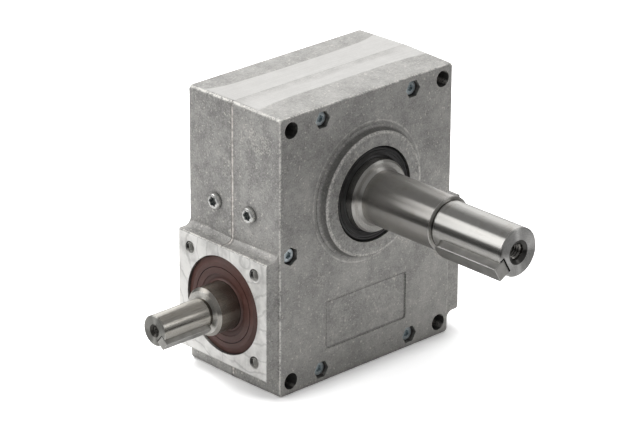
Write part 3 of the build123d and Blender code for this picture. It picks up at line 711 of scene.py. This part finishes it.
def hex_nut(name, x, z, turned):
    """A hexagonal nut along Y with chamfered corners and its bore; no reach stands for its flats."""
    shape = bmesh.new()
    steps = 48
    levels = [(0.0, nut_bore), (0.0, nut_crown), (nut_chamfer, None), (nut_height - nut_chamfer, None)]
    levels += [(nut_height, nut_crown), (nut_height, nut_mouth), (nut_height - nut_mouth_depth, nut_bore)]
    rows = []
    for along, reach in levels:
        row = []
        for i in range(steps):
            turn = 2 * math.pi * i / steps
            to_flat = (turn + math.pi / 6) % (math.pi / 3) - math.pi / 6
            radius = nut_flat / math.cos(math.pi / 6 - abs(to_flat)) if reach is None else reach
            turn += math.pi / 6 if turned else 0
            spot = (x + radius * math.cos(turn), nut_floor + along, z + radius * math.sin(turn))
            row.append(shape.verts.new(spot))
        rows.append(row)
    for one, two in zip(rows, rows[1:] + rows[:1]):
        for i in range(steps):
            j = (i + 1) % steps
            shape.faces.new((one[i], one[j], two[j], two[i]))
    bmesh.ops.recalc_face_normals(shape, faces=shape.faces)
    return finish_piece(name, shape, "housing", 25)


zinc_screw = plated_finish("zinc_screw", (0.72, 0.80, 0.83), (0.06, 0.10, 0.12), 0.26, 0.0015)
screws, nuts = [], []
for i, (x, z) in enumerate(screw_places):
    rings = socket_head(
        screw_head, screw_top, screw_height, socket=0.0021, depth=0.0019, rounding=0.0008, lobe=0.00026
    )
    rings += [(screw_shank, screw_height - screw_top), (screw_shank, screw_end - screw_tip)]
    rings += [(screw_shank - screw_tip, screw_end), (0.0, screw_end)]
    screw = ring_piece(f"case_screw_{i + 1}", rings, "Y", (x, 0, z), "housing", 72)
    screws.append(dress(screw, zinc_screw))
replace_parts(screws[0], "case_screws")
for i, (x, z) in enumerate(screw_places):
    nuts.append(dress(hex_nut(f"case_nut_{i + 1}", x, z, z == side_screw_height), zinc_screw))
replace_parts(nuts[0], "case_nuts")

# Oil plugs: bright plated, with a rounded rim and a six-lobe socket, one each side of the joint.
# They are screwed into the input side until their heads lie on the wall.
plug_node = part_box("oil_plugs")
plug_top = -plug_node[0].x
plug_height = (plug_node[0].z + plug_node[1].z) / 2
plug_offset = 0.015
plug_radius, plug_head = 0.0049, 0.0028
plug_shank, plug_reach, plug_tip = 0.003, 0.0115, 0.0003
plated_plug = plated_finish("plated_plug", (0.95, 0.95, 0.92), (0.03, 0.06, 0.07), 0.24, 0.0045)
plugs = []
for name, y in (("oil_plug_front", -plug_offset), ("oil_plug_rear", plug_offset)):
    rings = socket_head(
        plug_radius, plug_top, plug_head, socket=0.0029, depth=0.0025, rounding=0.0012, lobe=0.00042
    )
    rings += [(plug_shank, plug_head - plug_top), (plug_shank, plug_reach - plug_top)]
    rings += [(0.0, plug_reach + plug_tip - plug_top)]
    plug = ring_piece(name, rings, "X", (0, y, plug_height), "housing", 96)
    plugs.append(dress(plug, plated_plug))
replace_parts(plugs[0], "oil_plugs")

# Bearings, rings and pins inside: polished hardened steel and oiled spring steel.
# The bearings are pressed on their shafts, and the rings snap into grooves beside them.
bearing_tone, spring_tone = (0.62, 0.62, 0.63), (0.16, 0.16, 0.17)


def steel_finish(name, tone, roughness, axis=None, marks=0.00001, metal=1.0):
    """Turned, ground or tapped metal, with lines round its own axis if it has one."""
    material, tree, shader, spot = new_finish(name, metal)
    where = spot.outputs["Object"]
    lines = stretched(tree, where, 3000, 60, axis) if axis else where
    grain = cloud(tree, lines, 1.0 if axis else 1200, 3, 0.6)
    shade = cloud(tree, where, 70, 3)
    skin = colours(tree, rise(tree, shade, 0.3, 0.7), tone, shade_of(0.82, tone))
    polish = rise(tree, grain, 0.3, 0.7, roughness, roughness + 0.1)
    coat(tree, shader, skin, polish, relief(tree, grain, 0.5, marks))
    return material


bearing_y = steel_finish("bearing_steel_output", bearing_tone, 0.18, "Y")
bearing_x = steel_finish("bearing_steel_worm", bearing_tone, 0.18, "X")
for part in ("outer", "inner", "balls"):
    for end in ("front", "rear"):
        dress(f"output_bearing_{end}_{part}", bearing_y)
    for end in ("input", "tail"):
        dress(f"worm_bearing_{end}_{part}", bearing_x)
dress("dowel_pins", bearing_y)
dress("lock_pins", bearing_y)
spring_steel = steel_finish("spring_steel", spring_tone, 0.3)
for node in ("output_rings", "worm_ring", "bore_rings"):
    dress(node, spring_steel)

# Worm wheel: a bronze rim with cut teeth on a machined cast-iron hub.
# Three pins lock the rim, and a key holds the hub on the output shaft.
dress("worm_wheel_rim", steel_finish("wheel_bronze", (0.68, 0.43, 0.20), 0.3, "Y"))
dress("wheel_hub", steel_finish("hub_iron", (0.26, 0.26, 0.27), 0.42, "Y"))

# Output shaft: ground steel with a turned collar, a relief groove and a tapped centre hole.
# Grinding leaves fine lines round it, and the step faces stay rough and light.
output_key_angle = math.radians(-120)
output_key_half, output_slot, output_gap_width = 0.005, 0.0113, 0.0011
output_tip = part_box("output_shaft")[0].y
output_end_length, output_hole_radius = 0.056, 0.0074
output_step = output_tip + output_end_length
output_tones = ((0.60, 0.59, 0.565), (0.52, 0.505, 0.48))
output_stain_and_shade = (0.40, 0.36, 0.31)
output_end_tone, output_step_tone = (0.82, 0.81, 0.79), (0.80, 0.78, 0.74)
edge_highlight_tone, gap_shade, centre_hole_shade = (0.86, 0.85, 0.82), (0.004, 0.004, 0.004), (0.03, 0.028, 0.025)


def slot_gap(tree, where, axis, angle, axis_height, half_width, floor, gap):
    """1 where an end face gets painted shade for the gap along the key slot's floor and its lower side."""
    at = split(tree, where)
    sideways = at[1] if axis == "X" else at[0]
    up = minus(tree, at[2], axis_height)
    out_side = -math.sin(angle) if axis == "X" else math.sin(angle)
    out_up = math.cos(angle)
    out = plus(tree, times(tree, sideways, out_side), times(tree, up, out_up))
    along = plus(tree, times(tree, sideways, out_up), times(tree, up, -out_side))
    beside = within(tree, along, half_width, half_width + gap, 0.00008)
    beside = times(tree, beside, rise(tree, out, floor - gap, floor))
    below = within(tree, out, floor - gap, floor, 0.00008)
    below = times(tree, below, within(tree, along, -half_width, half_width + gap, 0.0001))
    return larger(tree, beside, below)


def darkened(tree, tone, share):
    """A colour socket, darker by a share."""
    links = {0: 1.0, 6: tone, 7: (share, share, share, 1.0)}
    return put(tree, "Mix", links, data_type="RGBA", blend_type="MULTIPLY").outputs[2]


def ground_finish(
    name, axis, step, tip, tones, stain_and_shade, roughness, end_tone, step_tone, groove, hole, gap, scratched
):
    """Ground steel along one axis: lines round it that draw reflections out along it, and dull ends."""
    material, tree, shader, spot = new_finish(name, 1.0, Anisotropic=1.0, Anisotropic_Rotation=0.25)
    round_it = put(tree, "Tangent", direction_type="RADIAL", axis=axis).outputs[0]
    tree.links.new(round_it, shader.inputs["Tangent"])
    where = spot.outputs["Object"]
    at = split(tree, where)
    along = at["XYZ".index(axis)]
    facing = split(tree, spot.outputs["Normal"])["XYZ".index(axis)]
    end = rise(tree, unsigned(tree, facing), 0.55, 0.9)

    # Fine lines round the shaft, stains, and dark scratches along it.
    tone = colours(tree, rise(tree, along, step - 0.0004, step + 0.0004), *tones)
    lines = cloud(tree, stretched(tree, where, 1500, 25, axis), 1.0, 3, 0.65)
    bands = cloud(tree, stretched(tree, where, 210, 20, axis), 1.0, 2)
    blotch = cloud(tree, where, 110, 4, 0.6)
    spots = cloud(tree, where, 1200, 3, 0.6)
    shade = weighed(tree, (lines, 0.6), (bands, 0.4))
    skin = colours(tree, rise(tree, shade, 0.3, 0.7), darkened(tree, tone, 0.94), tone)
    skin = colours(tree, rise(tree, blotch, 0.54, 0.76, 0.0, 0.5), skin, stain_and_shade)
    scratches = cloud(tree, stretched(tree, where, 45, 1400, axis), 1.0, 2)
    skin = colours(tree, rise(tree, scratches, 0.58, 0.68, 0.0, scratched), skin, shade_of(0.5, stain_and_shade))

    # Spotted end faces, a painted highlight along the edges and painted shade in the corners.
    face = colours(tree, rise(tree, along, tip + 0.004, tip + 0.006), end_tone, step_tone)
    face = colours(tree, rise(tree, spots, 0.35, 0.7), darkened(tree, face, 0.8), face)
    skin = colours(tree, end, skin, face)
    rounded, bend = edge_bend(tree, 0.0004)
    corner = openness(tree, 0.0008)
    edge = times(tree, rise(tree, bend, 0.90, 0.985, 0.8, 0.0), rise(tree, corner, 0.6, 0.8))
    skin = colours(tree, edge, skin, edge_highlight_tone)
    skin = colours(tree, rise(tree, corner, 0.15, 0.6, 0.9, 0.0), skin, shade_of(0.25, stain_and_shade))

    # The relief groove at the step, painted shade for the gap round the key, and painted shade in the centre
    # hole.
    in_groove = times(tree, within(tree, along, step - groove, step, 0.0001), left_by(tree, end))
    skin = colours(tree, times(tree, in_groove, 0.85), skin, shade_of(0.2, stain_and_shade))
    at_tip = rise(tree, along, tip + 0.0003, tip + 0.0006, 1.0, 0.0)
    near_tip = rise(tree, along, tip + 0.030, tip + 0.031, 1.0, 0.0)
    skin = colours(tree, times(tree, gap(tree, where), at_tip), skin, gap_shade)
    other = at[1] if axis == "X" else at[0]
    from_axis = radius_from(tree, other, minus(tree, at[2], hole[1]))
    in_hole = times(tree, rise(tree, from_axis, hole[0], hole[0] + 0.0002, 1.0, 0.0), near_tip)
    skin = colours(tree, times(tree, in_hole, 0.85), skin, centre_hole_shade)

    polish = rise(tree, bands, 0.3, 0.7, roughness, roughness + 0.012)
    polish = plus(tree, polish, times(tree, end, 0.16))
    height = plus(tree, lines, times(tree, spots, end, 2.5))
    coat(tree, shader, skin, polish, relief(tree, height, 0.35, 0.0000010, rounded))
    return material


def output_gap(tree, where):
    """The painted shade of the gap round the output key."""
    return slot_gap(
        tree, where, "Y", output_key_angle, output_axis.z, output_key_half, output_slot, output_gap_width
    )


output_steel = ground_finish(
    "ground_output_shaft", "Y", output_step, output_tip, output_tones, output_stain_and_shade, 0.25,
    output_end_tone, output_step_tone, groove=0.0012,
    hole=(output_hole_radius, output_axis.z), gap=output_gap, scratched=0.08,
)
dress("output_shaft", output_steel)


def thread(name, core, depth, pitch, start, length, axis, place, body, way=1):
    """The crests of a cut thread, a fine helix that stands in from the hole's wall."""
    shape = bmesh.new()
    steps = 40
    count = int(steps * length / pitch)
    root = core + 0.00003
    section = [(root, -0.48), (core - depth, -0.08), (core - depth, 0.08), (root, 0.48)]
    rows = []
    for i in range(count + 1):
        turn = 2 * math.pi * i / steps
        fade = min(1.0, i / steps, (count - i) / steps)
        row = []
        for radius, offset in section:
            reach = root + (radius - root) * fade
            along = start + way * pitch * (i / steps + offset)
            row.append(shape.verts.new(on_axis(place, axis, along, reach, turn)))
        rows.append(row)
    skin_rows(shape, rows)
    return finish_piece(name, shape, body, 50)


thread_steel = steel_finish("cut_thread", (0.26, 0.25, 0.235), 0.2)
output_thread = thread(
    "output_thread", core=0.0051, depth=0.0009, pitch=0.00175, start=output_tip + 0.0018, length=0.024,
    axis="Y", place=(0, 0, output_axis.z), body="output",
)
dress(output_thread, thread_steel)

# Keys: drawn bright steel with broken edges, round at the inner end.
# They sit in milled slots, flush with the shafts' ends.
key_light, key_dull = (0.54, 0.53, 0.505), (0.40, 0.39, 0.37)
key_edge, key_corner_shade = (0.95, 0.94, 0.92), (0.02, 0.019, 0.017)


def key_finish():
    """Drawn bar: dull sides, brighter broken edges, and painted shade in the corners."""
    material, tree, shader, spot = new_finish("drawn_key", 1.0)
    where = spot.outputs["Object"]
    grain = cloud(tree, where, 900, 4, 0.6)
    patches = cloud(tree, where, 130, 3)
    skin = colours(tree, rise(tree, patches, 0.35, 0.7), key_light, key_dull)
    rounded, bend = edge_bend(tree, 0.0008)
    skin = colours(tree, rise(tree, bend, 0.85, 0.99, 0.8, 0.0), skin, key_edge)
    skin = colours(tree, rise(tree, openness(tree, 0.0012), 0.2, 0.7, 0.9, 0.0), skin, key_corner_shade)
    polish = rise(tree, grain, 0.3, 0.7, 0.30, 0.42)
    coat(tree, shader, skin, polish, relief(tree, grain, 0.5, 0.00003, rounded))
    return material


drawn_key = key_finish()
for node in ("output_key", "wheel_key", "input_key"):
    dress(node, drawn_key)

# Worm shaft: ground from one piece of steel with its worm, with a collar in the seal.
# Its end has a key slot and a small tapped centre hole, and its relief groove is stained brown.
worm_key_angle = math.radians(130)
worm_key_half, worm_slot, worm_gap_width = 0.003, 0.006, 0.0005
worm_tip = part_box("worm_shaft")[0].x
worm_end_length, worm_hole_radius = 0.038, 0.0040
worm_step = worm_tip + worm_end_length
worm_tones = ((0.66, 0.635, 0.585), (0.33, 0.30, 0.262))
worm_stain_and_shade = (0.36, 0.30, 0.23)
worm_end_tone, worm_step_tone = (0.40, 0.395, 0.37), (0.85, 0.83, 0.78)


def worm_gap(tree, where):
    """The painted shade of the gap round the worm shaft's key."""
    return slot_gap(tree, where, "X", worm_key_angle, worm_axis, worm_key_half, worm_slot, worm_gap_width)


worm_steel = ground_finish(
    "ground_worm_shaft", "X", worm_step, worm_tip, worm_tones, worm_stain_and_shade, 0.24, worm_end_tone,
    worm_step_tone, groove=0.0020, hole=(worm_hole_radius, worm_axis), gap=worm_gap, scratched=0.5,
)
dress("worm_shaft", worm_steel)
worm_thread = thread(
    "input_thread", core=0.0025, depth=0.0004, pitch=0.001, start=worm_tip + 0.0013, length=0.013,
    axis="X", place=(0, 0, worm_axis), body="worm",
)
dress(worm_thread, thread_steel)

# Flange threads: the four tapped holes of each square flange, cut in the casting.
# The screws of a motor or a cover would go in them.
tap_depth, tap_pitch, tap_start, tap_length = 0.0004, 0.00125, 0.0012, 0.0135
tapped_cast = steel_finish("tapped_cast", (0.72, 0.71, 0.68), 0.42, metal=0.4)
tap_places = [(y, z) for y in (-tap_offset, tap_offset) for z in (-tap_offset, tap_offset)]
for side, word in ((-1, "input"), (1, "tail")):
    for i, (y, z) in enumerate(tap_places):
        tapped = thread(
            f"{word}_flange_thread_{i + 1}", tap_core, tap_depth, tap_pitch,
            side * (flange_face - tap_start), tap_length, "X", (0, y, worm_axis + z),
            "housing", -side,
        )
        dress(tapped, tapped_cast)

# Seals: moulded rubber rings with a face groove, a raised land and a thin dust lip on the shaft.
# The output seal is black and the input seal is brown; each is pressed into its bore.
black_tones = ((0.016, 0.0155, 0.0155), (0.030, 0.029, 0.028))
brown_tones = ((0.066, 0.027, 0.021), (0.086, 0.040, 0.033))
output_bore, input_bore = 0.02996, 0.03096
output_bore_depth, input_bore_depth = 0.0079, 0.0069
output_seat, input_seat = 0.0225, 0.015


def rubber_finish(name, tone, pale, roughness):
    """Moulded rubber with a faint bloom of dust, and painted shade where other surface stands close."""
    material, tree, shader, spot = new_finish(name, 0.0)
    where = spot.outputs["Object"]
    bloom = cloud(tree, where, 160, 4, 0.6)
    skin = colours(tree, rise(tree, bloom, 0.35, 0.7), tone, pale)
    skin = colours(tree, rise(tree, openness(tree, 0.0015), 0.35, 0.9, 0.8, 0.0), skin, shade_of(0.25, tone))
    polish = rise(tree, bloom, 0.3, 0.7, roughness, roughness + 0.12)
    coat(tree, shader, skin, polish, relief(tree, cloud(tree, where, 1500, 2), 0.3, 0.00003))
    return material


def seal_rings(outer, shaft, face, depth, groove, land, brow):
    """Rings of a seal: case, outer bevel, face, groove, land, dust lip and back."""
    lip = shaft + 0.00006
    points = [(outer, depth), (outer, 0.0014), (outer - 0.0004, 0.0010), (outer - brow, 0.0004)]
    points += [(outer - brow - 0.0004, 0.0), (groove + 0.00025, 0.0), (groove + 0.0001, 0.0006)]
    points += [(groove - 0.0001, 0.0006), (groove - 0.00025, 0.0)]
    points += [(land + 0.0003, 0.0), (land, 0.0004), (land - 0.0016, 0.0007), (lip + 0.0014, 0.0012)]
    points += [(lip + 0.0007, 0.0009), (lip + 0.0002, 0.0004), (lip, 0.0006), (lip + 0.0003, 0.0012)]
    points += [(lip + 0.0012, 0.0022), (lip + 0.0012, 0.0034), (lip, 0.0052), (lip + 0.0028, depth)]
    return [(radius, into - face) for radius, into in points]


black_rubber = rubber_finish("black_rubber", *black_tones, 0.30)
brown_rubber = rubber_finish("brown_rubber", *brown_tones, 0.42)
output_seal_face = -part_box("output_seal")[0].y
rings = seal_rings(
    output_bore, output_seat, output_seal_face, output_bore_depth, groove=0.0272, land=0.0256, brow=0.0012
)
output_seal = ring_piece(
    "output_seal_ring", rings, "Y", (0, 0, output_axis.z), "housing", 160, True
)
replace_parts(dress(output_seal, black_rubber), "output_seal")
input_seal_face = -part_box("input_seal")[0].x
rings = seal_rings(
    input_bore, input_seat, input_seal_face, input_bore_depth, groove=0.0237, land=0.0192, brow=0.0036
)
input_seal = ring_piece("input_seal_ring", rings, "X", (0, 0, worm_axis), "housing", 160, True)
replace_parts(dress(input_seal, brown_rubber), "input_seal")

# Closed covers: pressed steel caps skinned with black rubber.
# They are pressed into the bores opposite the shafts, behind the bearings.
cover_tones = ((0.014, 0.014, 0.015), (0.03, 0.03, 0.031))
cover_shoulder, cover_wall = 0.0012, 0.002


def cover_rings(outer, face, depth):
    """Rings of a cap: dished plate, rim, rounded shoulder, wall and hollow back."""
    rings = [(0.0, face - 0.0006), (outer * 0.45, face - 0.0006), (outer * 0.52, face - 0.0003)]
    rings += [(outer - 0.0045, face - 0.0003), (outer - 0.0038, face)]
    rings += arc((outer - cover_shoulder, face - cover_shoulder), cover_shoulder, 90, 0, 5)
    rings += [(outer, face - depth), (outer - cover_wall, face - depth)]
    rings += [(outer - cover_wall, face - cover_wall), (0.0, face - cover_wall)]
    return rings


cover_rubber = rubber_finish("cover_rubber", *cover_tones, 0.4)
output_cover_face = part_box("output_cover")[1].y
rings = cover_rings(output_bore, output_cover_face, output_bore_depth)
cover = ring_piece("output_cover_cap", rings, "Y", (0, 0, output_axis.z), "housing", 128)
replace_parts(dress(cover, cover_rubber), "output_cover")
tail_cover_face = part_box("tail_cover")[1].x
rings = cover_rings(input_bore, tail_cover_face, input_bore_depth)
cover = ring_piece("tail_cover_cap", rings, "X", (0, 0, worm_axis), "housing", 128)
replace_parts(dress(cover, cover_rubber), "tail_cover")
